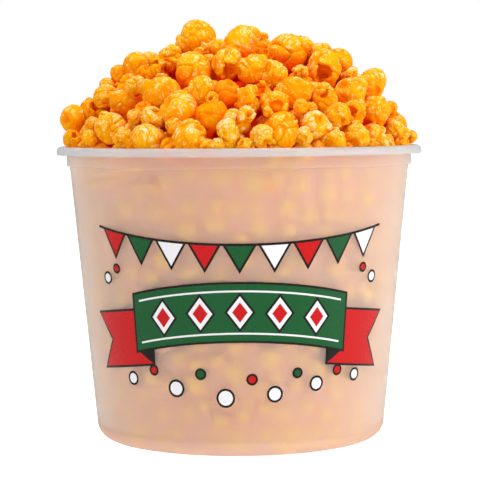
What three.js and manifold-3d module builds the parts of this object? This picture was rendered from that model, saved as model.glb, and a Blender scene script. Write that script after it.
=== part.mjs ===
// A round snack tub in translucent plastic, heaped with popcorn.
// Millimetres, +Z up, origin at the centre of the foot on which the tub stands.
import * as THREE from 'three';
import { mergeVertices } from 'three/addons/utils/BufferGeometryUtils.js';
import Module from 'manifold-3d';

const wasm = await Module();
wasm.setup();

// Driving dimensions of the tub.
const rimRadius = 113;
const tubHeight = 181;
const lipDrop = 4.5; // height of the lip's skirt
const lipRounding = 2.8; // of the lip's outer top edge
const collarRadius = 106.8; // the stacking band under the lip
const collarFoot = 169.2; // height at which the collar steps in to the wall
const wallRadiusTop = 105.1; // outside, just under the collar
const wallRadiusFoot = 88.8; // outside, where the wall's slope would meet the table
const cornerRounding = 10; // between wall and foot
const wall = 1.3;
const collarChamfer = 0.4; // on the collar's lower edge
const collarRun = 0.6; // height over which the inside slopes out into the collar
const mouthRounding = 0.5; // of the mouth's inner edge
const footWidth = 4; // flat ring that touches the table
const footRecess = 1.2; // the floor is raised by this inside the ring
const turns = 60; // facets round the tub
const cornerSteps = 5; // facets over a rounded corner
const lipSteps = 4; // facets over the lip's rounding

// Driving dimensions of the popcorn.
const clearance = 0.3; // between popcorn and plastic
const fillOverlap = 2; // the filling runs up into the heap by this
const heapRadius = 108; // the heap bulges a little over the lip
const heapRise = 72; // general height of the heap above the lip
const heapSteepness = 1.5; // 1 is an ellipsoid, more is flatter towards the lip
const kernelSpan = 27; // width of heap that one kernel takes
const kernelVariety = 0.15; // share by which that varies
const kernelCount = 84; // kernels that show on the heap
const kernelSpread = 0.8; // 1 spreads them evenly over a half sphere, less sets more near the top
const kernelRelief = 9; // how far a kernel stands out of the gaps
const reliefLevel = 0.75; // share of that relief which lies below the heap's general height
const lipFade = 0.15; // share of the heap's height over which the bumps start, from the lip
const crownOffset = -29; // the highest kernel sits this far to the left of the middle
const crownTop = 260.6; // its top above the table
const crownSpan = 26;
const heapDetail = 18; // subdivisions of the heap's surface
const weldDistance = 1e-3;

const plastic = new THREE.MeshStandardMaterial({
  name: 'milky_plastic',
  color: 0xe9d9cf,
  roughness: 0.4,
  metalness: 0,
  transparent: true,
  opacity: 0.6,
});
const cheeseCorn = new THREE.MeshStandardMaterial({
  name: 'cheese_popcorn',
  color: 0xf7a11c,
  roughness: 0.8,
  metalness: 0,
});

const wallSlope = (wallRadiusTop - wallRadiusFoot) / collarFoot;
const wallTilt = Math.atan(wallSlope);
const wallRadiusAt = (height) => wallRadiusFoot + wallSlope * height;

// Points of a circular arc about (radius, height), from one angle to another.
function arc(radius, height, rounding, from, to, steps) {
  return Array.from({ length: steps + 1 }, (_, i) => {
    const angle = from + ((to - from) * i) / steps;
    return new THREE.Vector2(radius + rounding * Math.cos(angle), height + rounding * Math.sin(angle));
  });
}

// The rounded corner between a level floor and the sloping wall, from the floor up.
function corner(floorHeight, inset, rounding) {
  const centreHeight = floorHeight + rounding;
  const centreRadius = wallRadiusAt(centreHeight) - inset - rounding / Math.cos(wallTilt);
  return arc(centreRadius, centreHeight, rounding, -Math.PI / 2, -wallTilt, cornerSteps);
}

// Turns a profile of radius and height about the Z axis.
function turned(profile) {
  return new THREE.LatheGeometry(profile, turns).rotateX(Math.PI / 2);
}

function solidOf(geometry) {
  const bare = geometry.index ? geometry.toNonIndexed() : geometry.clone();
  bare.deleteAttribute('normal');
  bare.deleteAttribute('uv');
  const merged = mergeVertices(bare, weldDistance);
  return new wasm.Manifold(
    new wasm.Mesh({
      numProp: 3,
      vertProperties: merged.attributes.position.array,
      triVerts: new Uint32Array(merged.index.array),
    }),
  );
}

function geometryOf(solid) {
  const { vertProperties, triVerts } = solid.getMesh();
  return new THREE.BufferGeometry()
    .setAttribute('position', new THREE.BufferAttribute(vertProperties, 3))
    .setIndex(new THREE.BufferAttribute(triVerts, 1));
}

// The tub's section: under the foot, up the outside, over the lip and down the inside to the floor.
function tubGeometry() {
  const outerCorner = corner(0, 0, cornerRounding);
  const footOuter = outerCorner[0].x;
  const footInner = footOuter - footWidth;
  const floorTop = footRecess + wall;
  const innerCorner = corner(floorTop, wall, cornerRounding - wall);
  const innerTop = wallRadiusTop - wall;
  const collarInner = collarRadius - wall;
  const collarInnerFoot = collarFoot + wall;
  const lipUnder = tubHeight - wall;
  const lipFoot = tubHeight - lipDrop;
  const outside = [
    new THREE.Vector2(0, footRecess),
    new THREE.Vector2(footInner - footRecess, footRecess),
    new THREE.Vector2(footInner, 0),
    ...outerCorner,
    new THREE.Vector2(wallRadiusTop, collarFoot),
    new THREE.Vector2(collarRadius - collarChamfer, collarFoot),
    new THREE.Vector2(collarRadius, collarFoot + collarChamfer),
    new THREE.Vector2(collarRadius, lipUnder),
    new THREE.Vector2(rimRadius - wall, lipUnder),
    new THREE.Vector2(rimRadius - wall, lipFoot),
    new THREE.Vector2(rimRadius, lipFoot),
    ...arc(rimRadius - lipRounding, tubHeight - lipRounding, lipRounding, 0, Math.PI / 2, lipSteps),
  ];
  const inside = [
    new THREE.Vector2(collarInner + mouthRounding, tubHeight),
    new THREE.Vector2(collarInner, tubHeight - mouthRounding),
    new THREE.Vector2(collarInner, collarInnerFoot),
    new THREE.Vector2(innerTop, collarInnerFoot - collarRun),
    ...innerCorner.reverse(),
    new THREE.Vector2(0, floorTop),
  ];
  return turned([...outside, ...inside]);
}

// The popcorn that fills the tub, up to just above the lip.
function fillingSolid() {
  const floor = footRecess + wall + clearance;
  const inset = wall + clearance;
  const widening = collarFoot + wall + clearance;
  const mouth = collarRadius - inset;
  const top = tubHeight + fillOverlap;
  const profile = [
    new THREE.Vector2(0, floor),
    ...corner(floor, inset, cornerRounding - wall),
    new THREE.Vector2(wallRadiusTop - inset, widening - collarRun),
    new THREE.Vector2(mouth, widening),
    new THREE.Vector2(mouth, top),
    new THREE.Vector2(0, top),
  ];
  return solidOf(turned(profile));
}

// The heap's general surface, over the unit half sphere.
function heapPoint(x, y, z) {
  const rise = heapRise * Math.pow(Math.max(z, 0), heapSteepness);
  return new THREE.Vector3(x * heapRadius, y * heapRadius, tubHeight + clearance + rise);
}

// Kernel number i, turned on from the one before by the golden angle.
function kernelOnHeap(i) {
  const goldenAngle = Math.PI * (3 - Math.sqrt(5));
  const height = Math.pow(1 - (i + 0.5) / kernelCount, kernelSpread);
  const reach = Math.sqrt(1 - height * height);
  const turn = i * goldenAngle;
  return {
    place: heapPoint(reach * Math.cos(turn), reach * Math.sin(turn), height),
    span: kernelSpan * (1 + kernelVariety * Math.sin(turn)),
  };
}

// How much of its relief the heap has at a point: 1 on top of a kernel, 0 in the gaps.
function bumpAt(point, kernels) {
  const shares = kernels.map(({ place, span }) => 1 - ((2 * point.distanceTo(place)) / span) ** 2);
  return Math.sqrt(Math.max(0, ...shares));
}

// Height of the highest kernel's round top over a point, or 0 beside it.
function crownHeightAt(point) {
  const crownRadius = crownSpan / 2;
  const away = Math.hypot(point.x - crownOffset, point.y) / crownRadius;
  return away < 1 ? crownTop - crownRadius * (1 - Math.sqrt(1 - away * away)) : 0;
}

// The heap above the lip, with each kernel standing out of it as a round bump.
function heapSolid() {
  const kernels = Array.from({ length: kernelCount }, (_, i) => kernelOnHeap(i));
  const surface = new THREE.IcosahedronGeometry(1, heapDetail);
  const position = surface.attributes.position;
  for (let v = 0; v < position.count; v++) {
    const direction = new THREE.Vector3().fromBufferAttribute(position, v);
    const point = heapPoint(direction.x, direction.y, direction.z);
    if (direction.z > 0) {
      const fade = Math.min(1, direction.z / lipFade);
      const outward = new THREE.Vector3(direction.x, direction.y, direction.z * heapSteepness).normalize();
      point.addScaledVector(outward, kernelRelief * fade * (bumpAt(point, kernels) - reliefLevel));
      point.z = Math.max(point.z, crownHeightAt(point));
    }
    position.setXYZ(v, point.x, point.y, point.z);
  }
  return solidOf(surface);
}

const tub = new THREE.Mesh(tubGeometry(), plastic);
tub.name = 'tub';

const popcorn = new THREE.Mesh(geometryOf(fillingSolid().add(heapSolid())), cheeseCorn);
popcorn.name = 'popcorn';

const popcornTub = new THREE.Group();
popcornTub.add(tub, popcorn);

export default popcornTub;
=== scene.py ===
# A round snack tub of milky plastic, heaped with cheese popcorn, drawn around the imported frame.
import math
import random

import bpy
from mathutils import Euler, Matrix, Vector
from mathutils.noise import noise as smoothNoise


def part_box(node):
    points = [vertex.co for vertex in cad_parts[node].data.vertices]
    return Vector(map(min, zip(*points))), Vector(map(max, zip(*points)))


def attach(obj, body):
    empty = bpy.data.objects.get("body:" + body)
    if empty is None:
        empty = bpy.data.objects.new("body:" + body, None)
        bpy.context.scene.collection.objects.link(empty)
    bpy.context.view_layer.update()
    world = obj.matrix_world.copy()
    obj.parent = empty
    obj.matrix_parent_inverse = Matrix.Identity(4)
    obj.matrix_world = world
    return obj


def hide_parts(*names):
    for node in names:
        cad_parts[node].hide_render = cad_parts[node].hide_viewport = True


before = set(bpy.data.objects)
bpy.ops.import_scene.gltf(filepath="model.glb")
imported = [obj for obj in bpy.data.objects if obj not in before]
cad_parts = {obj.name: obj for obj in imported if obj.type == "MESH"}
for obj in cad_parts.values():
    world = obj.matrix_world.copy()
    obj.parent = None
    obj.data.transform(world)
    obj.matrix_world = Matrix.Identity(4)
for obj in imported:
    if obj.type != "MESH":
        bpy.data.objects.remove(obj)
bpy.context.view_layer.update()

mm = 0.001
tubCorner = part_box("tub")[1]
rimRadius = tubCorner.x
lipTop = tubCorner.z


# ---- small helpers

def pickOnly(*objs):
    bpy.ops.object.select_all(action="DESELECT")
    for obj in objs:
        obj.select_set(True)
    bpy.context.view_layer.objects.active = objs[-1]


def applyAll(obj):
    pickOnly(obj)
    for modifier in list(obj.modifiers):
        bpy.ops.object.modifier_apply(modifier=modifier.name)


def joinAll(objs, name):
    pickOnly(*objs)
    if len(objs) > 1:
        bpy.ops.object.join()
    joined = bpy.context.view_layer.objects.active
    joined.name = name
    joined.data.name = name
    return joined


def paint(obj, material):
    obj.data.materials.clear()
    obj.data.materials.append(material)


def shadeSmooth(obj):
    pickOnly(obj)
    bpy.ops.object.shade_smooth()


def removeAll(objs):
    for obj in objs:
        bpy.data.objects.remove(obj)


def triangleCount(obj):
    obj.data.calc_loop_triangles()
    return len(obj.data.loop_triangles)


def meshObject(name, points, edges=(), faces=()):
    mesh = bpy.data.meshes.new(name)
    mesh.from_pydata(points, edges, faces)
    obj = bpy.data.objects.new(name, mesh)
    bpy.context.collection.objects.link(obj)
    return obj


def copied(obj):
    twin = obj.copy()
    twin.data = obj.data.copy()
    bpy.context.collection.objects.link(twin)
    return twin


def setAll(thing, settings):
    for name, value in settings.items():
        setattr(thing, name, value)
    return thing


def addModifier(obj, name, kind, **settings):
    return setAll(obj.modifiers.new(name, kind), settings)


def give(tree, node, values):
    # sets inputs, each to a plain value or to the output of another node
    for name, value in values.items():
        if isinstance(value, bpy.types.NodeSocket):
            tree.links.new(value, node.inputs[name])
        else:
            node.inputs[name].default_value = value
    return node


def newNode(tree, kind, values={}, **settings):
    return give(tree, setAll(tree.nodes.new(kind), settings), values)


def newMaterial(name):
    material = bpy.data.materials.new(name)
    material.use_nodes = True
    return material, material.node_tree, material.node_tree.nodes["Principled BSDF"]


# ---- camera: a long lens a little above the lip, looking slightly down

cameraSetup = {
    "distance": 1.1706,     # from the tub's axis
    "height": 0.1990, "sideStep": 0.0003,
    "downTilt": 3.77, "roll": -0.395,   # degrees
    "lens": 140.66, "sensor": 36.0, "clip": (0.1, 20),
    "frame": 480,           # pixels on a side
}


def makeCamera(c):
    bpy.ops.object.camera_add()
    camera = bpy.context.object
    camera.name = "camera"
    camera.data.lens = c["lens"]
    camera.data.sensor_width = c["sensor"]
    camera.data.clip_start, camera.data.clip_end = c["clip"]
    tilt = Matrix.Rotation(math.radians(90 - c["downTilt"]), 4, "X")
    roll = Matrix.Rotation(math.radians(c["roll"]), 4, "Z")
    place = Vector((c["sideStep"], -c["distance"], c["height"]))
    camera.matrix_world = Matrix.Translation(place) @ tilt @ roll
    bpy.context.scene.camera = camera
    return camera


camera = makeCamera(cameraSetup)
cameraPlace = camera.matrix_world.to_translation()
cameraTurn = camera.matrix_world.to_3x3()
focalPixels = cameraSetup["lens"] / cameraSetup["sensor"] * cameraSetup["frame"]


def sightLine(across, down):
    middle = cameraSetup["frame"] / 2
    ray = Vector(((across - middle) / focalPixels, (middle - down) / focalPixels, -1))
    return (cameraTurn @ ray).normalized()


# ---- studio

studio = {
    "world": 0.22,
    # the place, size and power of each light
    "lights": {
        "key": ((0.95, -0.85, 1.0), 0.9, 6.2),
        "fill": ((-1.2, -0.9, 0.5), 1.2, 2.7),
        "side": ((1.15, -0.35, 0.3), 0.7, 5.8),
        "top": ((-0.05, -0.12, 0.78), 0.5, 3.5),
        "strip": ((-0.45, -1.25, 0.25), 0.09, 1.8),
    },
    "stripHeight": 0.5,
    "aim": 0.7,     # all point at this share of the lip's height
    "bounces": 14, "diffuseBounces": 10,
    "floorSize": 12.0, "floorDrop": 0.4 * mm, "floorGrey": 0.5, "floorRoughness": 0.9, "floorGlow": 0.82,
}


def whiteToCamera(tree, strength):
    # full white where the camera looks straight at it, and this strong for all other light
    straight = newNode(tree, "ShaderNodeLightPath").outputs["Is Camera Ray"]
    values = {"Value": straight, "To Min": strength, "To Max": 1.0}
    return newNode(tree, "ShaderNodeMapRange", values).outputs["Result"]


def makeStudio(s):
    target = Vector((0, 0, lipTop * s["aim"]))
    for name, (place, size, power) in s["lights"].items():
        bpy.ops.object.light_add(type="AREA", location=place)
        light = bpy.context.object
        light.name = f"{name}Light"
        light.data.size = size
        light.data.energy = power
        light.rotation_euler = (target - Vector(place)).to_track_quat("-Z", "Y").to_euler()
        if name == "strip":
            light.data.shape = "RECTANGLE"
            light.data.size_y = s["stripHeight"]
    world = bpy.data.worlds.new("studioWhite")
    world.use_nodes = True
    tree = world.node_tree
    strength = whiteToCamera(tree, s["world"])
    give(tree, tree.nodes["Background"], {"Color": (1, 1, 1, 1), "Strength": strength})
    scene = bpy.context.scene
    scene.world = world
    scene.view_settings.view_transform = "Standard"
    scene.cycles.max_bounces = s["bounces"]
    scene.cycles.diffuse_bounces = s["diffuseBounces"]

    bpy.ops.mesh.primitive_plane_add(size=s["floorSize"], location=(0, 0, -s["floorDrop"]))
    floor = bpy.context.object
    floor.name = "studioFloor"
    white, tree, shader = newMaterial("studioFloorWhite")
    give(tree, shader, {
        "Base Color": (*[s["floorGrey"]] * 3, 1), "Roughness": s["floorRoughness"],
        "Emission Color": (1, 1, 1, 1), "Emission Strength": whiteToCamera(tree, s["floorGlow"]),
    })
    paint(floor, white)


makeStudio(studio)
print("studio ready")


# ---- materials

popcornLook = {
    "cheese": (0.935, 0.41, 0.001, 1),   # bright yellow-orange coating
    "coated": (0.975, 0.265, 0.001, 1),  # where the coating lies thick
    "powder": (0.94, 0.54, 0.030, 1),    # thin coating with the pale inside showing through, drawn more on upper sides as painted top light
    "chalk": (0.91, 0.68, 0.48, 1),      # where the coating is worn off, drawn more on upper sides as painted top light
    "creaseShade": (0.84, 0.19, 0.004, 1),   # painted shade in folds and hollows
    "creaseShadeShare": 0.7,
    "deepShade": (0.92, 0.040, 0.001, 1),   # painted shade deep in the heap, where the gaps between kernels lie in shade
    # size and detail of each pattern
    "patches": (4.5 * mm, 3), "streaks": (1.2 * mm, 2), "specks": (0.8 * mm, 2),
    "thick": (8 * mm, 2), "wrinkles": (2.6 * mm, 2),
    "streakLength": 3.0,    # strokes run along each kernel
    # how much strokes, the kernel's paleness, specks, wrinkles and edges bare the inside, and how much
    # paler the upper sides are drawn as painted top light
    "bareAndTopLightWeights": (1.5, 0.4, 0.45, 0.25, 0.4, 0.15),
    "powderFrom": (2.12, 2.37), "chalkFrom": (2.27, 2.62),
    "thickFrom": (0.52, 0.80), "thinWhenPale": 0.35,
    "bumpStrength": 0.4, "bumpDepth": 0.7 * mm, "bumpSpecks": 0.3,
    "roughness": 0.5, "specular": 0.03,
}
noiseRoughness, ridgeDistortion = 0.6, 0.8


def mixed(tree, lower, upper, factor):
    values = {"A": lower, "B": upper, "Factor": factor}
    return newNode(tree, "ShaderNodeMix", values, data_type="RGBA").outputs["Result"]


def noise(tree, vector, size, detail):
    values = {"Vector": vector, "Scale": 1 / size, "Detail": detail, "Roughness": noiseRoughness}
    return newNode(tree, "ShaderNodeTexNoise", values).outputs["Fac"]


def wrinkles(tree, vector, size, detail):
    # thin winding ridges, as on the skin of a round kernel
    values = {"Vector": vector, "Scale": 1 / size, "Detail": detail, "Distortion": ridgeDistortion}
    ridges = newNode(tree, "ShaderNodeTexNoise", values, noise_type="RIDGED_MULTIFRACTAL", normalize=True)
    return ridges.outputs["Fac"]


def weighted(tree, value, weight, rest):
    values = {0: value, 1: weight, 2: rest}
    return newNode(tree, "ShaderNodeMath", values, operation="MULTIPLY_ADD").outputs[0]


def ramp(tree, value, low, high):
    values = {"Value": value, "From Min": low, "From Max": high}
    return newNode(tree, "ShaderNodeMapRange", values).outputs["Result"]


def attribute(tree, name, output="Fac"):
    return newNode(tree, "ShaderNodeAttribute", attribute_name=name).outputs[output]


def popcornMaterial(look):
    material, tree, shader = newMaterial("cheesePopcorn")
    place = attribute(tree, "skin", "Vector")
    tone, crease, rim, deepShade = (attribute(tree, name) for name in ("tone", "crease", "rim", "deepShade"))
    normal = newNode(tree, "ShaderNodeNewGeometry").outputs["Normal"]
    upward = newNode(tree, "ShaderNodeSeparateXYZ", {0: normal}).outputs["Z"]

    thick = weighted(tree, tone, look["thinWhenPale"], noise(tree, place, *look["thick"]))
    coating = mixed(tree, look["coated"], look["cheese"], ramp(tree, thick, *look["thickFrom"]))

    skin = wrinkles(tree, place, *look["wrinkles"])
    specks = noise(tree, place, *look["specks"])
    stretch = (1, 1, 1 / look["streakLength"])
    along = newNode(tree, "ShaderNodeVectorMath", {0: place, 1: stretch}, operation="MULTIPLY")
    streaks = noise(tree, along.outputs["Vector"], *look["streaks"])
    dustAndTopLight = noise(tree, place, *look["patches"])
    # the real powder and wear, with the upper sides drawn paler as painted top light
    for part, weight in zip((streaks, tone, specks, skin, rim, upward), look["bareAndTopLightWeights"]):
        dustAndTopLight = weighted(tree, part, weight, dustAndTopLight)
    dustedAndTopLit = mixed(tree, coating, look["powder"], ramp(tree, dustAndTopLight, *look["powderFrom"]))
    wornAndTopLit = mixed(tree, dustedAndTopLit, look["chalk"], ramp(tree, dustAndTopLight, *look["chalkFrom"]))
    # painted shade: folds and hollows are drawn darker and redder
    creaseShade = mixed(tree, wornAndTopLit, look["creaseShade"], weighted(tree, crease, look["creaseShadeShare"], 0))

    height = weighted(tree, specks, look["bumpSpecks"], skin)
    values = {"Height": height, "Strength": look["bumpStrength"], "Distance": look["bumpDepth"]}
    # over all of it the painted deep shade, by depth in the heap
    give(tree, shader, {
        "Base Color": mixed(tree, creaseShade, look["deepShade"], deepShade),
        "Roughness": look["roughness"], "Specular IOR Level": look["specular"],
        "Normal": newNode(tree, "ShaderNodeBump", values).outputs["Normal"],
    })
    return material


behindLook = {
    "near": (0.92, 0.46, 0.035, 1),    # popcorn that touches the milky wall
    "far": (0.82, 0.350, 0.170, 1),    # painted haze and shade: what lies further in is drawn duller and darker
    "fade": 6.5 * mm,                  # distance over which it does
    "steepness": 1.5,
    "roughness": 0.6, "specular": 0.03,
}


def behindMaterial(look):
    material, tree, shader = newMaterial("popcornBehindWall")
    # painted haze and shade: nearer to the far colour the further in from the wall
    colour = mixed(tree, look["near"], look["far"], attribute(tree, "crease"))
    give(tree, shader, {"Base Color": colour, "Roughness": look["roughness"],
                        "Specular IOR Level": look["specular"]})
    return material


# colour, roughness, share of the light that goes on through the plastic, and refraction
plasticLook = {
    "Wall": ((0.905, 0.92, 0.915, 1), 0.72, 0.89, 1.28),
    "Lip": ((0.82, 0.85, 0.88, 1), 0.55, 0.72, 1.35),
    "Foot": ((0.83, 0.89, 0.91, 1), 0.6, 0.74, 1.18),
    "smudge": 0.12, "smudgeSize": 30 * mm,
}
inkLook = {
    "green": (0.006, 0.090, 0.022, 1), "red": (0.54, 0.003, 0.004, 1),
    "black": (0.006, 0.005, 0.004, 1), "white": (0.80, 0.79, 0.81, 1),
    "roughness": 0.25, "specular": 0.16,
    "smudge": 0.1, "smudgeSize": 20 * mm,
}
smudgeLook = {
    "marks": (1, 3), "scuffs": (0.08, 2),     # size against that of the marks, and detail
    "scuffShare": 0.2, "range": (0.45, 0.9),
}


def smudgeGroup(look):
    # faint handling marks, wide and soft with fine scuffs in them
    group = bpy.data.node_groups.new("handlingSmudge", "ShaderNodeTree")
    group.interface.new_socket("Size", in_out="INPUT", socket_type="NodeSocketFloat")
    group.interface.new_socket("Smudge", in_out="OUTPUT", socket_type="NodeSocketFloat")
    size = newNode(group, "NodeGroupInput").outputs["Size"]
    place = newNode(group, "ShaderNodeTexCoord").outputs["Object"]
    values = {0: place, 1: size}
    spread = newNode(group, "ShaderNodeVectorMath", values, operation="DIVIDE").outputs["Vector"]
    scuffs = noise(group, spread, *look["scuffs"])
    both = weighted(group, scuffs, look["scuffShare"], noise(group, spread, *look["marks"]))
    newNode(group, "NodeGroupOutput", {"Smudge": ramp(group, both, *look["range"])})
    return group


def smudgedMaterial(name, look, roughness, values):
    material, tree, shader = newMaterial(name)
    marks = newNode(tree, "ShaderNodeGroup", {"Size": look["smudgeSize"]}, node_tree=smudge)
    rough = weighted(tree, marks.outputs["Smudge"], look["smudge"], roughness)
    give(tree, shader, {**values, "Roughness": rough})
    return material


def inkMaterial(name, look):
    values = {"Base Color": look[name], "Specular IOR Level": look["specular"]}
    return smudgedMaterial(f"{name}Ink", look, look["roughness"], values)


def tubMaterial(part, look):
    colour, roughness, through, ior = look[part]
    values = {"Base Color": colour, "Transmission Weight": through, "IOR": ior}
    return smudgedMaterial(f"milkyPlastic{part}", look, roughness, values)


cheesePopcorn = popcornMaterial(popcornLook)
popcornBehindWall = behindMaterial(behindLook)
smudge = smudgeGroup(smudgeLook)
tubMaterials = [tubMaterial(part, plasticLook) for part in ("Wall", "Lip", "Foot")]
inks = {name: inkMaterial(name, inkLook) for name in ("green", "red", "black", "white")}


# ---- the tub, turned from its section

tubShape = {
    "lipDrop": 4.5 * mm, "lipRounding": 2.8 * mm,
    "collarRadius": 106.8 * mm, "collarFoot": 169.2 * mm,
    "wallRadiusTop": 105.1 * mm,
    "wallRadiusFoot": 88.8 * mm,    # where the slope would meet the table
    "cornerRounding": 10 * mm, "wall": 1.3 * mm,
    "footWidth": 4 * mm, "footRecess": 1.2 * mm,
    "softEdge": 0.5 * mm,           # rounding of the small edges
    "lipUnderside": 0.4,            # its rounding, as a share of the wall
    "turns": 160, "cornerSteps": 9, "softSteps": 3, "lipSteps": 6, "wallSteps": (0.3, 0.6, 0.9),
}
weldDistance = 0.01 * mm
sharpAngle = 40     # degrees; sharper edges than this stay crisp


def wallRadiusAt(height):
    t = tubShape
    share = height / t["collarFoot"]
    return t["wallRadiusFoot"] + (t["wallRadiusTop"] - t["wallRadiusFoot"]) * share


def arcPoints(radius, height, rounding, start, end, steps):
    angles = [math.radians(start + (end - start) * i / steps) for i in range(steps + 1)]
    return [(radius + rounding * math.cos(a), height + rounding * math.sin(a)) for a in angles]


def wallLean():
    # degrees from upright
    t = tubShape
    return math.degrees(math.atan((t["wallRadiusTop"] - t["wallRadiusFoot"]) / t["collarFoot"]))


def cornerCentre(height, inset, rounding):
    # how far out the centre of the rounding between floor and wall lies
    return wallRadiusAt(height) - inset - rounding / math.cos(math.radians(wallLean()))


def tubSection(t):
    wall = t["wall"]

    def corner(floor, inset, rounding):
        height = floor + rounding
        centre = cornerCentre(height, inset, rounding)
        return arcPoints(centre, height, rounding, -90, -wallLean(), t["cornerSteps"])

    outerCorner = corner(0, 0, t["cornerRounding"])
    floorTop = t["footRecess"] + wall
    innerCorner = corner(floorTop, wall, t["cornerRounding"] - wall)
    footInner = outerCorner[0][0] - t["footWidth"]
    collar = t["collarRadius"]
    foot = t["collarFoot"]
    under = lipTop - wall
    soft, steps = t["softEdge"], t["softSteps"]
    lipFoot = lipTop - t["lipDrop"]
    rounding = t["lipRounding"]
    edge = t["lipUnderside"] * wall
    outside = [(0, t["footRecess"]), (footInner - t["footRecess"], t["footRecess"]), (footInner, 0)]
    outside += outerCorner
    outside += [(wallRadiusAt(foot * s), foot * s) for s in t["wallSteps"]]
    outside += arcPoints(t["wallRadiusTop"] + soft, foot - soft, soft, 180, 90, steps)
    outside += arcPoints(collar - soft, foot + soft, soft, -90, 0, steps)
    outside += [(collar, under), (rimRadius - wall, under), (rimRadius - wall, lipFoot)]
    outside += arcPoints(rimRadius - edge, lipFoot, edge, -180, 0, steps)[1:]
    outside += arcPoints(rimRadius - rounding, lipTop - rounding, rounding, 0, 90, t["lipSteps"])
    inside = arcPoints(collar - wall + soft, lipTop - soft, soft, 90, 180, steps)
    inside += [(collar - wall, foot + wall), (wallRadiusAt(foot) - wall, foot + wall - soft)]
    inside += [(wallRadiusAt(foot * s) - wall, foot * s) for s in reversed(t["wallSteps"])]
    return outside + inside + innerCorner[::-1] + [(0, floorTop)]


def turned(name, section, turns):
    edges = [(i, i + 1) for i in range(len(section) - 1)]
    obj = meshObject(name, [(radius, 0, height) for radius, height in section], edges)
    pickOnly(obj)
    bpy.ops.object.mode_set(mode="EDIT")
    bpy.ops.mesh.select_all(action="SELECT")
    bpy.ops.mesh.spin(steps=turns, angle=2 * math.pi, center=(0, 0, 0), axis=(0, 0, 1))
    bpy.ops.mesh.select_all(action="SELECT")
    bpy.ops.mesh.remove_doubles(threshold=weldDistance)
    bpy.ops.mesh.normals_make_consistent(inside=False)
    bpy.ops.object.mode_set(mode="OBJECT")
    bpy.ops.object.shade_smooth_by_angle(angle=math.radians(sharpAngle))
    return obj


def makeTub(t):
    tub = turned("tub_shell", tubSection(t), t["turns"])
    for material in tubMaterials:
        tub.data.materials.append(material)
    for face in tub.data.polygons:
        if face.center.z > lipTop - t["lipDrop"]:
            face.material_index = 1
        if face.center.z < t["cornerRounding"]:
            face.material_index = 2
    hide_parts("tub")
    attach(tub, "root")
    print("tub:", triangleCount(tub), "triangles")


makeTub(tubShape)


# ---- the print, drawn flat as (across, height) in mm and then wrapped round the wall

printShape = {
    "outline": 1.3,       # mm of black left round each shape
    "lift": 0.03 * mm,    # between the wall and the ink
    "layer": 0.06 * mm,
    "cut": 4.0,           # mm between the cuts that let a flat shape bend
    "bendRadius": 96.5,   # mm, the wall's radius at the middle of the print
    "panelHalf": 66, "panelFoot": 62, "panelHeight": 33, "panelRise": 8,
    "trimInset": 3.6, "trimWidth": 1.1,
    "diamonds": 5, "diamondPitch": 23, "diamondHalfWidth": 7.2, "diamondHalfHeight": 9.5,
    "stringHalf": 92, "stringMiddle": 125, "stringRise": 9, "stringWidth": 1.4,
    "pennants": 9, "pennantHalf": 7.6, "pennantDrop": 13.5, "pennantSpread": 1.92,
    # the ribbon's folded ends: tucked in behind the panel, then out to a notched edge
    "tuck": 11, "tailFoot": 55, "tailHeight": 87, "foldRise": 2.5,
    "tailEdge": [(98, 50), (88, 67), (100, 82)],
    "diamondFrame": 2.2,
    "sharpest": 0.35,     # limits how far a pointed corner of an outline reaches
}

# across, height, radius, ink
confetti = [
    (-72, 45, 3.0, "white"), (-55, 51, 2.0, "red"), (-40, 41, 4.0, "white"), (-24, 50, 2.2, "green"),
    (-9, 36, 4.4, "white"), (7, 47, 2.2, "red"), (21, 38, 3.7, "white"), (35, 50, 2.0, "green"),
    (48, 43, 3.4, "white"), (63, 50, 2.2, "red"), (78, 46, 2.8, "white"), (88, 104, 2.6, "white"),
    (-88, 104, 2.6, "white"), (79, 110, 1.8, "red"), (-79, 110, 1.8, "red"),
]


def grown(points, by):
    # the outline moved outwards, with mitred corners
    result = []
    count = len(points)
    for i in range(count):
        before, here, after = (Vector(points[(i + step) % count]) for step in (-1, 0, 1))
        arriving = (here - before).normalized()
        leaving = (after - here).normalized()
        normal = Vector((arriving.y + leaving.y, -arriving.x - leaving.x)).normalized()
        miter = by / max(printShape["sharpest"], normal.dot(Vector((leaving.y, -leaving.x))))
        result.append(tuple(here + normal * miter))
    return result


def arched(across, half, rise):
    return rise * (1 - (across / half) ** 2)


def bandShape(half, foot, height, rise, curveHalf, steps=16):
    stations = [half * (2 * i / steps - 1) for i in range(steps + 1)]
    lower = [(a, foot + arched(a, curveHalf, rise)) for a in stations]
    upper = [(a, foot + height + arched(a, curveHalf, rise)) for a in reversed(stations)]
    return lower + upper


def diamondShape(across, height, halfWidth, halfHeight):
    return [(across, height - halfHeight), (across + halfWidth, height),
            (across, height + halfHeight), (across - halfWidth, height)]


def dotShape(across, height, radius, steps=20):
    turns = [math.tau * i / steps for i in range(steps)]
    return [(across + radius * math.cos(a), height + radius * math.sin(a)) for a in turns]


def onSide(side, points):
    return points if side > 0 else [(-a, h) for a, h in reversed(points)]


def tailShape(p):
    inner = p["panelHalf"] - p["tuck"]
    return [(inner, p["tailFoot"]), *p["tailEdge"], (inner, p["tailHeight"])]


def foldShape(p):
    inner = p["panelHalf"] - p["tuck"]
    corner = (p["panelHalf"], p["panelFoot"])
    return [(inner, p["tailFoot"]), corner, (inner, p["panelFoot"] + p["foldRise"])]


def pennantShape(across, p):
    top = p["stringMiddle"] + p["stringRise"] - arched(across, p["stringHalf"], p["stringRise"])
    half = p["pennantHalf"]
    lift = 2 * p["stringRise"] * across / p["stringHalf"] ** 2 * half
    return [(across, top - p["pennantDrop"]), (across + half, top + lift), (across - half, top - lift)]


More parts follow.
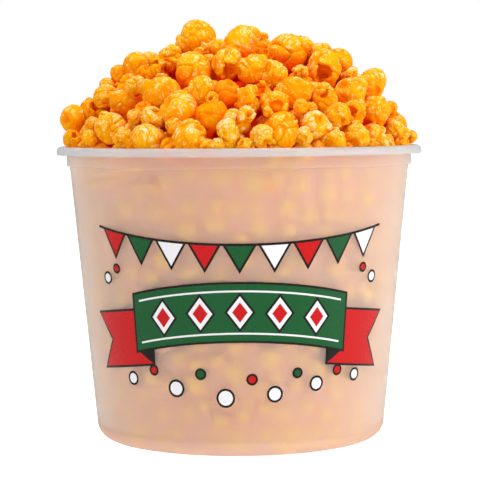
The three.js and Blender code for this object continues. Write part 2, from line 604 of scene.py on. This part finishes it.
def drawPrint(p):
    # every shape with its ink and its layer, black first
    drawn = []

    def outlined(points, ink, layer):
        drawn.append((grown(points, p["outline"]), "black", layer))
        drawn.append((points, ink, layer + 1))

    for side in (-1, 1):
        outlined(onSide(side, tailShape(p)), "red", 0)
        drawn.append((onSide(side, foldShape(p)), "black", 2))
    panel = bandShape(p["panelHalf"], p["panelFoot"], p["panelHeight"], p["panelRise"], p["panelHalf"])
    outlined(panel, "green", 3)
    trimHalf = p["panelHalf"] - p["trimInset"]
    upperTrim = p["panelFoot"] + p["panelHeight"] - p["trimInset"] - p["trimWidth"]
    for foot in (p["panelFoot"] + p["trimInset"], upperTrim):
        trim = bandShape(trimHalf, foot, p["trimWidth"], p["panelRise"], p["panelHalf"])
        drawn.append((trim, "white", 5))
    for i in range(p["diamonds"]):
        across = (i - (p["diamonds"] - 1) / 2) * p["diamondPitch"]
        height = p["panelFoot"] + p["panelHeight"] / 2 + arched(across, p["panelHalf"], p["panelRise"])
        whole = diamondShape(across, height, p["diamondHalfWidth"], p["diamondHalfHeight"])
        outlined(whole, "white", 5)
        drawn.append((grown(whole, -p["diamondFrame"]), "red", 7))
    string = bandShape(p["stringHalf"], p["stringMiddle"] + p["stringRise"], p["stringWidth"],
                       -p["stringRise"], p["stringHalf"], steps=24)
    drawn.append((string, "black", 2))
    for i in range(p["pennants"]):
        across = (i - (p["pennants"] - 1) / 2) * p["stringHalf"] * p["pennantSpread"] / p["pennants"]
        outlined(pennantShape(across, p), ("red", "green", "white")[i % 3], 0)
    for across, height, radius, ink in confetti:
        outlined(dotShape(across, height, radius), ink, 0)
    return drawn


def inkLayer(points, layer, p):
    ink = meshObject("ink", [(a, h, 0) for a, h in points], faces=[range(len(points))])
    pickOnly(ink)
    bpy.ops.object.mode_set(mode="EDIT")
    left = min(a for a, h in points)
    right = max(a for a, h in points)
    for cut in range(math.ceil(left / p["cut"]), math.ceil(right / p["cut"])):
        bpy.ops.mesh.select_all(action="SELECT")
        bpy.ops.mesh.bisect(plane_co=(cut * p["cut"], 0, 0), plane_no=(1, 0, 0))
    bpy.ops.object.mode_set(mode="OBJECT")
    addModifier(ink, "film", "SOLIDIFY", thickness=p["layer"] * (layer + 1) / mm, offset=1)
    applyAll(ink)
    for vertex in ink.data.vertices:
        across, height, film = vertex.co
        radius = wallRadiusAt(height * mm) + p["lift"] + film * mm
        turn = across / p["bendRadius"]
        vertex.co = (radius * math.sin(turn), -radius * math.cos(turn), height * mm)
    return ink


def makePrint(p):
    layers = {}
    for points, ink, layer in drawPrint(p):
        layers.setdefault(ink, []).append(inkLayer(points, layer, p))
    for ink, parts in layers.items():
        piece = joinAll(parts, f"print_{ink}")
        paint(piece, inks[ink])
        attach(piece, "root")
        print("print", ink, len(parts), "shapes,", triangleCount(piece), "triangles")


makePrint(printShape)


# ---- kernels, each kind modelled a few times and then copied

unitRadius = 10 * mm    # of every kernel shape, before its copies get their sizes
reachShare = 0.75       # this share of a shape's points lies within that radius
reliefSmoothing = 0.6
variantStep, rowStep = 70 * mm, 100 * mm    # room between the shapes while they are made


def displace(obj, kind, size, strength, **settings):
    texture = bpy.data.textures.new(f"{obj.name}Bumps", kind)
    setAll(texture, {"noise_scale": size, **settings})
    addModifier(obj, "bumps", "DISPLACE", texture=texture, strength=strength, mid_level=0.5,
                texture_coords="LOCAL")


def lobes(obj, size, depth):
    displace(obj, "VORONOI", size, -depth, distance_metric="DISTANCE_SQUARED")


def folds(obj, size, depth, wander=1.0):
    # narrow winding grooves
    displace(obj, "DISTORTED_NOISE", size, depth, noise_basis="VORONOI_CRACKLE",
             noise_distortion="IMPROVED_PERLIN", distortion=wander)


def swells(obj, size, depth):
    displace(obj, "CLOUDS", size, depth, noise_depth=1)


def smoothOut(obj, factor, rounds):
    addModifier(obj, "soften", "SMOOTH", factor=factor, iterations=rounds)


def weld(obj, voxel):
    addModifier(obj, "weld", "REMESH", mode="VOXEL", voxel_size=voxel)


def mark(obj, name, values):
    attribute = obj.data.attributes.new(name, "FLOAT", "POINT")
    attribute.data.foreach_set("value", values)


def markSkin(obj, offset):
    # where the colour patches lie, fixed to the kernel before it is turned
    attribute = obj.data.attributes.new("skin", "FLOAT_VECTOR", "POINT")
    for vertex, item in zip(obj.data.vertices, attribute.data):
        item.vector = vertex.co + offset


def markRelief(obj, depth, rounds):
    # how far each vertex lies below or above the smoothed surface, as a share of depth
    smoothOut(obj, reliefSmoothing, rounds)
    evaluated = obj.evaluated_get(bpy.context.evaluated_depsgraph_get())
    smoothed = [v.co.copy() for v in evaluated.data.vertices]
    obj.modifiers.clear()
    below = [(target - v.co).dot(v.normal) / depth for v, target in zip(obj.data.vertices, smoothed)]
    mark(obj, "crease", [min(1, max(0, share)) for share in below])
    mark(obj, "rim", [min(1, max(0, -share)) for share in below])


def centreKernel(obj):
    points = [v.co for v in obj.data.vertices]
    middle = sum(points, Vector()) / len(points)
    reach = sorted((p - middle).length for p in points)[int(len(points) * reachShare)]
    obj.data.transform(Matrix.Scale(unitRadius / reach, 4) @ Matrix.Translation(-middle))


def thinDown(obj, triangles):
    addModifier(obj, "thin", "DECIMATE", ratio=min(1, triangles / triangleCount(obj)))
    applyAll(obj)


def finishKernel(kernel, variant, foldDepth, k):
    # the bump textures are fixed in space, so each variant is shaped at a place of its own
    kernel.data.transform(Matrix.Translation((variant * variantStep, k["row"] * rowStep, 0)))
    weld(kernel, k["voxel"])
    smoothOut(kernel, *k["soften"])
    swells(kernel, k["swellSize"], k["swellDepth"])
    lobes(kernel, k["bumpSize"], k["bumpDepth"])
    folds(kernel, k["foldSize"], foldDepth)
    lobes(kernel, k["crumbSize"], k["crumbDepth"])
    smoothOut(kernel, *k["polish"])
    applyAll(kernel)
    thinDown(kernel, k["triangles"])
    centreKernel(kernel)
    markRelief(kernel, k["creaseDepth"], k["rounds"])
    shadeSmooth(kernel)
    return kernel


def ballAt(place, size, squash, dice, detail=3):
    bpy.ops.mesh.primitive_ico_sphere_add(subdivisions=detail, radius=size, location=place)
    ball = bpy.context.object
    ball.scale = (1, dice.uniform(squash, 1), dice.uniform(squash, 1))
    ball.rotation_euler = [dice.uniform(0, math.pi) for axis in range(3)]
    bpy.ops.object.transform_apply(location=True, rotation=True, scale=True)
    return ball


roundKernel = {
    "variants": 8, "row": 0, "triangles": 1800, "voxel": 0.5 * mm, "squash": 0.76,
    "nubs": (0, 2), "nubSize": (0.3, 0.55), "nubReach": 0.72, "nubSquash": 0.7,
    "dents": (1, 2), "dentSize": (0.45, 0.8), "dentReach": (1.3, 1.5),
    "swellSize": 13 * mm, "swellDepth": 2.8 * mm,
    "bumpSize": 15 * mm, "bumpDepth": 1.4 * mm,
    "foldSize": 16 * mm, "foldDepth": (0, 1.0 * mm),
    "crumbSize": 4 * mm, "crumbDepth": 0.25 * mm,
    "soften": (0.5, 6), "polish": (0.5, 1),     # smoothing before and after the bumps
    "creaseDepth": 0.7 * mm, "rounds": 30,
}


def outwards(dice):
    # a random direction
    return Vector([dice.gauss(0, 1) for axis in range(3)]).normalized()


def makeRoundKernel(k, variant, dice):
    parts = [ballAt((0, 0, 0), unitRadius, k["squash"], dice, detail=5)]
    for nub in range(dice.randint(*k["nubs"])):
        size = dice.uniform(*k["nubSize"]) * unitRadius
        parts.append(ballAt(outwards(dice) * k["nubReach"] * unitRadius, size, k["nubSquash"], dice))
    kernel = joinAll(parts, f"roundKernel{variant}")
    weld(kernel, k["voxel"])
    applyAll(kernel)
    for dent in range(dice.randint(*k["dents"])):
        place = outwards(dice) * dice.uniform(*k["dentReach"]) * unitRadius
        scoopOut(kernel, place, dice.uniform(*k["dentSize"]) * unitRadius, dice)
    return finishKernel(kernel, variant, dice.uniform(*k["foldDepth"]), k)


# a body with lobes, hollowed by scoops, and a roll round part of the first hollow
burstKernel = {
    "voxel": 0.45 * mm, "squash": 0.85, "lobeSquash": 0.40,
    "scoopSpread": 3, "roll": (0, 0), "rollSweep": (0, 0),
    "swellSize": 11 * mm, "bumpSize": 9 * mm, "foldSize": 12 * mm, "foldDepth": 0.8 * mm,
    "crumbSize": 4 * mm, "crumbDepth": 0.15 * mm,
    "soften": (0.5, 2), "polish": (0.5, 1), "rounds": 50,
}
curledKernel = {
    **burstKernel, "variants": 8, "row": 1, "triangles": 2400,
    "body": (0.78, 0.92), "lobes": (1, 3), "lobeSize": (0.36, 0.58), "lobeReach": (0.55, 0.85),
    "lobeSquash": 0.7, "scoops": (1, 2), "scoopSize": (0.32, 0.46), "scoopReach": (0.66, 0.82),
    "scoopSpread": 0.45, "roll": (0.15, 0.24), "rollSweep": (130, 260),
    "swellDepth": 2.4 * mm, "bumpDepth": 0.7 * mm, "creaseDepth": 1.4 * mm, "rounds": 70,
}
# smooth wings burst out of a small body
wingedKernel = {
    **burstKernel, "variants": 10, "row": 2, "triangles": 1900,
    "body": (0.50, 0.70), "lobes": (3, 5), "lobeSize": (0.50, 0.85), "lobeReach": (0.50, 0.80),
    "scoops": (1, 3), "scoopSize": (0.22, 0.36), "scoopReach": (0.72, 0.95),
    "swellDepth": 3.0 * mm, "bumpDepth": 0.8 * mm, "foldDepth": 0.9 * mm, "creaseDepth": 1.1 * mm,
}
# burst wide open, with the rough pale inside showing
crumblyKernel = {
    **burstKernel, "variants": 7, "row": 3, "triangles": 2600,
    "body": (0.45, 0.62), "lobes": (5, 7), "lobeSize": (0.34, 0.66), "lobeReach": (0.50, 0.88),
    "scoops": (2, 4), "scoopSize": (0.16, 0.28), "scoopReach": (0.75, 0.98),
    "swellSize": 9 * mm, "swellDepth": 2.6 * mm, "bumpSize": 6 * mm, "bumpDepth": 1.0 * mm,
    "foldSize": 8 * mm, "foldDepth": 0.7 * mm, "crumbSize": 3.2 * mm, "crumbDepth": 0.4 * mm,
    "creaseDepth": 0.9 * mm, "rounds": 40,
}
# shells torn open, with crisp edges round wide hollow faces
tornKernel = {
    **burstKernel, "variants": 8, "row": 4, "triangles": 1700,
    "body": (0.95, 1.0), "lobes": (0, 1), "lobeSize": (0.4, 0.6), "lobeReach": (0.6, 0.8),
    "lobeSquash": 0.6, "scoops": (3, 4), "scoopSize": (0.60, 0.85), "scoopReach": (1.15, 1.30),
    "swellSize": 12 * mm, "swellDepth": 1.6 * mm, "bumpDepth": 0.5 * mm,
    "crumbSize": 3.2 * mm, "crumbDepth": 0.25 * mm, "creaseDepth": 0.9 * mm,
}
scoopShape = {
    "squash": 0.65, "swellSize": 6 * mm, "swellDepth": 3 * mm,
    "firstSpread": 0.3,         # the first scoop keeps nearer the top than the others
    "rollStep": 14,             # degrees between the balls of a roll
    "rollTaper": 0.4, "rollReach": 1.15,
}


def scoopOut(kernel, place, size, dice):
    scoop = ballAt(place, size, scoopShape["squash"], dice)
    swells(scoop, scoopShape["swellSize"], scoopShape["swellDepth"])
    applyAll(scoop)
    addModifier(kernel, "scoop", "BOOLEAN", operation="DIFFERENCE", object=scoop)
    applyAll(kernel)
    removeAll([scoop])


def makeBurstKernel(k, variant, dice):
    c = scoopShape
    parts = [ballAt((0, 0, 0), dice.uniform(*k["body"]) * unitRadius, k["squash"], dice)]
    for lobe in range(dice.randint(*k["lobes"])):
        away = outwards(dice) * dice.uniform(*k["lobeReach"]) * unitRadius
        parts.append(ballAt(away, dice.uniform(*k["lobeSize"]) * unitRadius, k["lobeSquash"], dice))
    scoops = []
    for scoop in range(dice.randint(*k["scoops"])):
        spread = k["scoopSpread"] * (c["firstSpread"] if scoop == 0 else 1)
        away = (Vector((0, 0, 1)) + outwards(dice) * spread).normalized()
        place = away * dice.uniform(*k["scoopReach"]) * unitRadius
        scoops.append((place, dice.uniform(*k["scoopSize"]) * unitRadius))
    sweep = dice.uniform(*k["rollSweep"])
    start = dice.uniform(0, 360)
    for step in range(round(sweep / c["rollStep"])):
        along = step * c["rollStep"]
        turn = math.radians(start + along)
        taper = 1 - c["rollTaper"] * along / sweep
        hollow, width = scoops[0]
        edge = Vector((math.cos(turn), math.sin(turn), 0)) * width * c["rollReach"]
        size = dice.uniform(*k["roll"]) * taper * unitRadius
        parts.append(ballAt(hollow + edge, size, k["squash"], dice))
    kernel = joinAll(parts, f"kernel{k['row']}{variant}")
    weld(kernel, k["voxel"])
    smoothOut(kernel, *k["soften"])
    applyAll(kernel)
    for place, size in scoops:
        scoopOut(kernel, place, size, dice)
    return finishKernel(kernel, variant, k["foldDepth"], k)


def makeKernels(k):
    dice = random.Random(kernelSeed + k["row"])
    maker = makeRoundKernel if k is roundKernel else makeBurstKernel
    return [maker(k, variant, dice) for variant in range(k["variants"])]


kernelSeed = 11
kernelKinds = {"round": roundKernel, "curled": curledKernel, "winged": wingedKernel,
               "crumbly": crumblyKernel, "torn": tornKernel}
kernelShapes = {kind: makeKernels(settings) for kind, settings in kernelKinds.items()}
print("kernel shapes:", {kind: len(shapes) for kind, shapes in kernelShapes.items()})


# ---- the heap: kernels that show from the front first, then the rest all round

heap = {
    "reach": 112 * mm, "rise": 72 * mm, "power": 0.75,
    "mouth": 105.3 * mm,
    # depths where the painted deep shade starts and where it is full
    "deepShadeDepths": (9 * mm, 26 * mm),
    "overLip": 4 * mm,          # a kernel on the lip rests this far in from its edge
    "lipSink": 0.95,            # how near it comes to that edge, as a share of its radius
    "steepest": 2.2,
    "plump": 1.12,              # front kernels against their widths in the list
    "wobble": {"curled": 0.45, "torn": 0.8},    # how loosely a hollow faces outwards
    "tumble": 3,                # the same for the kinds without one
    "pale": (0.2, 0.8),
    "sightFrom": 0.135, "sightSteps": 180,      # a line of sight is searched in 1 mm steps from here
    "frontDepth": 0.92,         # how deep front kernels sit, as a share of their radius
    "overlap": 0.75, "beside": 0.5,     # how far a later kernel may cover a front one
    "seed": 5,
    "settle": (0, 0.5, 1.0),    # a kernel that finds no room sinks by these shares of its radius
    # radius in mm, depth as a share of it, spacing, tries, kernel kinds with their weights
    "layers": (
        (7.0, 11.0, 1.00, 0.90, 3000, ("round", "winged", "curled"), (5, 4, 2)),
        (6.0, 9.0, 1.05, 0.88, 5000, ("round", "torn", "winged", "curled", "crumbly"), (3, 3, 2, 2, 1)),
        (4.0, 6.0, 1.15, 0.86, 4000, ("torn", "winged", "crumbly"), (4, 1, 1)),
        (5.5, 8.0, 1.60, 0.88, 4000, ("deep",), (1,)),
        (8.0, 10.0, 2.20, 0.84, 5000, ("deep",), (1,)),
        (7.0, 9.0, 3.30, 0.80, 5000, ("deep",), (1,)),
    ),
}

# kind, across, down, width, in pixels of the 480 x 480 frame, then paleness and depth in mm
frontKernels = [
    ("round", 197, 37, 32, 0.5, 0), ("round", 185, 46, 20, 0.5, 0), ("winged", 167, 60, 28, 0.6, 0),
    ("round", 151, 60, 16, 0.7, 0), ("winged", 148, 76, 22, 0.2, 3), ("round", 136, 66, 27, 0.5, 0),
    ("round", 119, 74, 16, 0.4, 0), ("torn", 107, 86, 15, 0.6, 0), ("round", 74, 119, 25, 0.5, 0),
    ("curled", 93, 110, 26, 0.5, 0), ("torn", 106, 98, 23, 0.6, 0), ("winged", 127, 97, 32, 0.4, 1),
    ("crumbly", 137, 86, 19, 0.9, 0), ("round", 160, 93, 33, 0.55, 0), ("round", 194, 72, 33, 0.5, 0),
    ("round", 181, 110, 36, 0.6, 0), ("round", 110, 128, 32, 0.6, 0), ("round", 92, 124, 14, 0.6, 0),
    ("torn", 123, 137, 19, 0.7, 0), ("curled", 73, 140, 18, 0.4, 0), ("round", 91, 139, 17, 0.5, 0),
    ("torn", 152, 119, 22, 0.8, 1), ("round", 148, 139, 29, 0.7, 0), ("torn", 174, 126, 16, 0.7, 2),
    ("round", 190, 138, 32, 0.6, 0), ("torn", 202, 91, 26, 0.6, 0), ("curled", 212, 99, 13, 0.6, 0),
    ("round", 210, 118, 32, 0.1, 4), ("crumbly", 205, 48, 12, 0.9, 0), ("round", 217, 47, 14, 0.5, 0),
    ("curled", 228, 66, 32, 0.6, 0), ("round", 241, 46, 36, 0.6, 0), ("round", 251, 37, 20, 0.5, 0),
    ("winged", 264, 37, 10, 0.6, 0), ("round", 253, 70, 28, 0.5, 0), ("torn", 273, 75, 26, 0.7, 0),
    ("round", 227, 94, 27, 0.1, 4), ("round", 287, 54, 36, 0.6, 0), ("round", 301, 46, 19, 0.5, 0),
    ("winged", 273, 52, 14, 0.4, 2), ("round", 291, 93, 34, 0.3, 0), ("round", 301, 107, 14, 0.6, 0),
    ("winged", 247, 99, 28, 0.5, 0), ("curled", 275, 107, 30, 0.55, 0), ("winged", 238, 122, 34, 0.9, 0),
    ("torn", 263, 137, 23, 0.8, 0), ("round", 281, 131, 35, 0.45, 0), ("crumbly", 228, 138, 29, 0.95, 0),
    ("round", 321, 53, 21, 0.6, 0), ("round", 340, 60, 24, 0.4, 0), ("curled", 324, 72, 36, 0.5, 0),
    ("crumbly", 352, 78, 19, 0.9, 0), ("round", 371, 86, 30, 0.6, 0), ("curled", 325, 100, 27, 0.55, 0),
    ("round", 350, 94, 32, 0.5, 0), ("curled", 354, 112, 23, 0.5, 0), ("torn", 338, 118, 27, 0.6, 1),
    ("round", 375, 112, 28, 0.55, 0), ("curled", 390, 108, 14, 0.6, 0), ("round", 315, 125, 28, 0.95, 0),
    ("torn", 304, 136, 17, 0.9, 0), ("torn", 333, 141, 25, 0.6, 0), ("torn", 356, 138, 25, 0.6, 0),
    ("winged", 358, 129, 15, 0.6, 2), ("crumbly", 378, 138, 24, 0.85, 0), ("winged", 396, 130, 25, 0.7, 0),
    ("curled", 410, 137, 14, 0.5, 0), ("torn", 114, 87, 17, 0.3, 3), ("round", 84, 148, 14, 0.5, 0),
    ("torn", 102, 150, 14, 0.4, 0), ("round", 121, 152, 18, 0.6, 0), ("torn", 134, 146, 16, 0.2, 4),
    ("winged", 168, 147, 17, 0.2, 3), ("torn", 207, 148, 16, 0.3, 2), ("winged", 218, 146, 17, 0.6, 0),
    ("torn", 245, 147, 16, 0.6, 0), ("round", 275, 152, 20, 0.6, 0), ("round", 302, 152, 22, 0.7, 0),
    ("torn", 318, 148, 14, 0.4, 2), ("winged", 345, 148, 14, 0.5, 1), ("torn", 369, 146, 15, 0.5, 0),
    ("winged", 388, 145, 17, 0.5, 0), ("torn", 402, 143, 13, 0.5, 0),
]


def heapHeight(radius):
    share = min(1, radius / heap["reach"])
    return lipTop + heap["rise"] * (1 - share * share) ** heap["power"]


def heapSlope(radius):
    step = 1 * mm
    return (heapHeight(radius) - heapHeight(radius + step)) / step


def depthInHeap(place):
    # distance below the heap's outer surface, near enough
    radius = math.hypot(place.x, place.y)
    return (heapHeight(radius) - place.z) / math.sqrt(1 + heapSlope(radius) ** 2)


def clearsLip(place, radius):
    out = math.hypot(place.x, place.y)
    inside = heap["mouth"]
    if place.z < lipTop:
        inside = min(inside, wallRadiusAt(place.z) - tubShape["wall"])
    if out + radius <= inside:
        return True
    above = place.z - lipTop
    beside = math.hypot(out - rimRadius + heap["overLip"], above)
    return above > 0 and out < rimRadius and beside > radius * heap["lipSink"]


def kernelOnSight(across, down, width, sink):
    ray = sightLine(across, down)
    best = None
    for step in range(heap["sightSteps"]):
        distance = cameraSetup["distance"] - heap["sightFrom"] + step * mm
        place = cameraPlace + ray * (distance / abs(ray.y))
        radius = heap["plump"] * width / 2 / focalPixels * distance
        depth = depthInHeap(place) - radius * heap["frontDepth"] - sink * mm
        if not clearsLip(place, radius):
            continue
        if best is None or depth > best[0]:
            best = (depth, place, radius)
        if depth >= 0:
            break
    return best[1], best[2]


def onFrame(place):
    # where a place falls in the frame, and its distance
    seen = cameraTurn.inverted() @ (place - cameraPlace)
    middle = cameraSetup["frame"] / 2
    return middle - focalPixels * seen.x / seen.z, middle + focalPixels * seen.y / seen.z, -seen.z


def hidesFront(place, radius, front):
    # true for a kernel that would stand before a front one, or above the heap's skyline
    across, down, distance = onFrame(place)
    reach = radius * focalPixels / distance
    skyline = [d for k, a, d, w, p, s in frontKernels if abs(a - across) < w / 2 + reach / 2]
    if skyline and down - reach < min(skyline):
        return True
    for kind, other, otherRadius, pale, aim in front:
        otherAcross, otherDown, otherDistance = onFrame(other)
        apart = math.hypot(otherAcross - across, otherDown - down)
        touching = reach + otherRadius * focalPixels / otherDistance
        nearer = distance < otherDistance + heap["beside"] * otherRadius
        if apart < heap["overlap"] * touching and nearer:
            return True
    return False


def placeHeap(h):
    dice = random.Random(h["seed"])
    placed = []
    for kind, across, down, width, pale, sink in frontKernels:
        place, radius = kernelOnSight(across, down, width, sink)
        placed.append((kind, place, radius, pale, cameraPlace - place))
    front = list(placed)
    for low, high, depthShare, spacing, tries, kinds, weights in h["layers"]:
        for attempt in range(tries):
            radius = dice.uniform(low, high) * mm
            turn = dice.uniform(0, math.tau)
            out = h["reach"] * math.sqrt(dice.random())
            slope = heapSlope(out)
            if dice.random() > math.sqrt(1 + slope * slope) / h["steepest"]:
                continue
            around = Matrix.Rotation(turn, 3, "Z")
            normal = Vector((slope, 0, 1)).normalized()
            surface = Vector((out, 0, heapHeight(out)))
            kind = dice.choices(kinds, weights=weights)[0]
            pale = dice.uniform(*h["pale"])
            for sunk in h["settle"]:
                place = around @ (surface - normal * radius * (depthShare + sunk))
                crowded = any((place - other[1]).length < spacing * (radius + other[2]) for other in placed)
                if clearsLip(place, radius) and not crowded and not hidesFront(place, radius, front):
                    placed.append((kind, place, radius, pale, around @ normal))
                    break
    return placed


skinShift = 3    # gives each copy other colour patches


def copyKernel(template, place, radius, turn, tone):
    kernel = copied(template)
    markSkin(kernel, place * skinShift)
    kernel.data.transform(Matrix.LocRotScale(place, turn, Vector((1, 1, 1)) * (radius / unitRadius)))
    mark(kernel, "tone", [tone] * len(kernel.data.vertices))
    return kernel


def markDeepShade(obj, start, full):
    # painted shade: kernels deep in the heap are drawn darker and redder, as the gaps between them lie in
    # shade
    shares = []
    for vertex in obj.data.vertices:
        depth = depthInHeap(vertex.co)
        if vertex.co.z < lipTop:
            depth = min(depth, heap["mouth"] - math.hypot(vertex.co.x, vertex.co.y))
        shares.append(min(1, max(0, (depth - start) / (full - start))))
    mark(obj, "deepShade", shares)


def facing(direction, dice, wobble):
    # a turn that points a kernel's mouth along a direction, give or take
    aim = direction.normalized() + outwards(dice) * wobble
    return aim.to_track_quat("Z", "Y") @ Euler((0, 0, dice.uniform(0, math.tau))).to_quaternion()


def makeHeap(h):
    dice = random.Random(h["seed"] + 1)
    made = {kind: [] for kind in kernelShapes}
    for kind, place, radius, pale, outward in placeHeap(h):
        template = dice.choice(kernelShapes[kind])
        turn = facing(outward, dice, h["wobble"].get(kind, h["tumble"]))
        made[kind].append(copyKernel(template, place, radius, turn, pale))
    for kind, kernels in made.items():
        piece = joinAll(kernels, f"popcorn_{kind}")
        markDeepShade(piece, *h["deepShadeDepths"])
        paint(piece, cheesePopcorn)
        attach(piece, "root")
        print("popcorn", kind, len(kernels), "kernels,", triangleCount(piece), "triangles")


deepKernel = {"triangles": 700, "round": 4, "winged": 3}
deepOnes = [kernel for kind in ("round", "winged") for kernel in kernelShapes[kind][:deepKernel[kind]]]
kernelShapes["deep"] = [copied(kernel) for kernel in deepOnes]
for kernel in kernelShapes["deep"]:
    thinDown(kernel, deepKernel["triangles"])
makeHeap(heap)


# ---- popcorn behind the wall, and the core that fills the middle

packed = {
    "variants": 4, "bumpSize": 11 * mm, "bumpDepth": 5 * mm,
    "sizes": ((8.5, 11), (7, 8.5), (5, 6.5)),    # radii in mm, biggest first
    "tries": 2500, "spacing": 0.75,
    "gap": (-0.4 * mm, 2.0 * mm),                # between kernel and wall
    "behind": 11 * mm,                           # a second ring fills the gaps of the first
    "lowest": 3 * mm, "highest": lipTop - 2 * mm,
    "seed": 21,
}


def makePackedKernel(p, variant):
    bpy.ops.mesh.primitive_ico_sphere_add(subdivisions=2, radius=unitRadius, location=(0, 0, 0))
    kernel = bpy.context.object
    kernel.name = f"packedKernel{variant}"
    kernel.data.transform(Matrix.Translation((variant * variantStep, 0, 0)))
    swells(kernel, p["bumpSize"], p["bumpDepth"])
    applyAll(kernel)
    centreKernel(kernel)
    shadeSmooth(kernel)
    return kernel


def hazeAt(place, look):
    fromWall = wallRadiusAt(place.z) - tubShape["wall"] - math.hypot(place.x, place.y)
    return (max(0, fromWall) / look["fade"]) ** look["steepness"]


def packedReach(height, radius):
    # how far out a kernel can lie behind the wall, or over the rounding of the foot
    t = tubShape
    rounding = t["cornerRounding"] - t["wall"]
    level = t["footRecess"] + t["wall"] + rounding
    if height < level and radius < rounding:
        across = math.sqrt(max(0, (rounding - radius) ** 2 - (level - height) ** 2))
        return wallRadiusAt(level) - t["wall"] - rounding + across
    return wallRadiusAt(height) - t["wall"] - radius


def makePacked(p):
    dice = random.Random(p["seed"])
    shapes = [makePackedKernel(p, variant) for variant in range(p["variants"])]
    placed = []
    footRing = [(*size, 0, 0) for size in p["sizes"]]
    upTheWall = [(*size, 0, 1) for size in p["sizes"]]
    secondRing = [(*p["sizes"][0], p["behind"], 1)]
    for smallest, largest, behind, climb in footRing + upTheWall + secondRing:
        for attempt in range(p["tries"]):
            radius = dice.uniform(smallest, largest) * mm
            lowest = p["lowest"] + radius
            height = lowest + climb * dice.uniform(0, p["highest"] - radius - lowest)
            turn = dice.uniform(0, math.tau)
            out = packedReach(height, radius) - climb * dice.uniform(*p["gap"]) - behind
            place = Vector((out * math.cos(turn), out * math.sin(turn), height))
            if all((place - other).length > p["spacing"] * (radius + size) for other, size in placed):
                placed.append((place, radius))
    kernels = []
    for place, radius in placed:
        turn = Euler([dice.uniform(0, math.tau) for axis in range(3)]).to_quaternion()
        kernels.append(copyKernel(dice.choice(shapes), place, radius, turn, 0))
    piece = joinAll(kernels, "popcorn_packed")
    removeAll(shapes)
    # painted haze and shade, by distance in from the wall
    mark(piece, "crease", [hazeAt(v.co, behindLook) for v in piece.data.vertices])
    paint(piece, popcornBehindWall)
    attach(piece, "root")
    print("packed:", len(kernels), "kernels,", triangleCount(piece), "triangles")


coreShape = {
    "inPlastic": 0.6 * mm,  # the filling reaches into the foot, to this far from its outside
    "wedge": 9 * mm,        # height up to which it lies against the plastic
    "clearFrom": 20 * mm,   # from here up it leaves room for the kernels
    "behindWall": 7 * mm,
    "mouthRadius": 84 * mm, "underHeap": 34 * mm, "turns": 120,
    "lumpSize": 11 * mm, "lumpTone": 0.75,
    "footSteps": 14, "wallSteps": 8, "heapSteps": 12,
}


def coreSection(c):
    t = tubShape
    rounding = t["cornerRounding"]
    centre = cornerCentre(rounding, 0, rounding)
    floor = t["footRecess"] + t["wall"] / 2
    points = [(0, floor), (centre - t["footWidth"], floor)]
    foot = arcPoints(centre, rounding, rounding - c["inPlastic"], -90, -wallLean(), c["footSteps"])
    points += [(radius, height) for radius, height in foot if height < c["wedge"]]
    climb = (lipTop - c["clearFrom"]) / c["wallSteps"]
    heights = [c["clearFrom"] + climb * i for i in range(c["wallSteps"] + 1)]
    points += [(wallRadiusAt(height) - c["behindWall"], height) for height in heights]
    over = [c["mouthRadius"] * (1 - i / c["heapSteps"]) for i in range(c["heapSteps"] + 1)]
    points += [(radius, heapHeight(radius) - c["underHeap"]) for radius in over]
    return points


def makeCore(c):
    core = turned("popcorn_core", coreSection(c), c["turns"])
    places = [v.co.copy() for v in core.data.vertices]
    lumps = [c["lumpTone"] + smoothNoise(place / c["lumpSize"]) for place in places]
    for name in ("rim", "tone"):
        mark(core, name, [0] * len(places))
    # painted shade and haze: above the lip the core takes the deep shade colour, behind the wall the dull
    # far colour, with lumps of the nearer colour low in the foot
    mark(core, "crease", [lump if place.z < c["wedge"] else 1 for place, lump in zip(places, lumps)])
    mark(core, "deepShade", [1] * len(places))
    markSkin(core, Vector())
    paint(core, cheesePopcorn)
    core.data.materials.append(popcornBehindWall)
    for face in core.data.polygons:
        if face.center.z < lipTop:
            face.material_index = 1
    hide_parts("popcorn")
    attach(core, "root")


makePacked(packed)
makeCore(coreShape)
for shapes in kernelShapes.values():
    removeAll(shapes)
print("heap and filling ready")
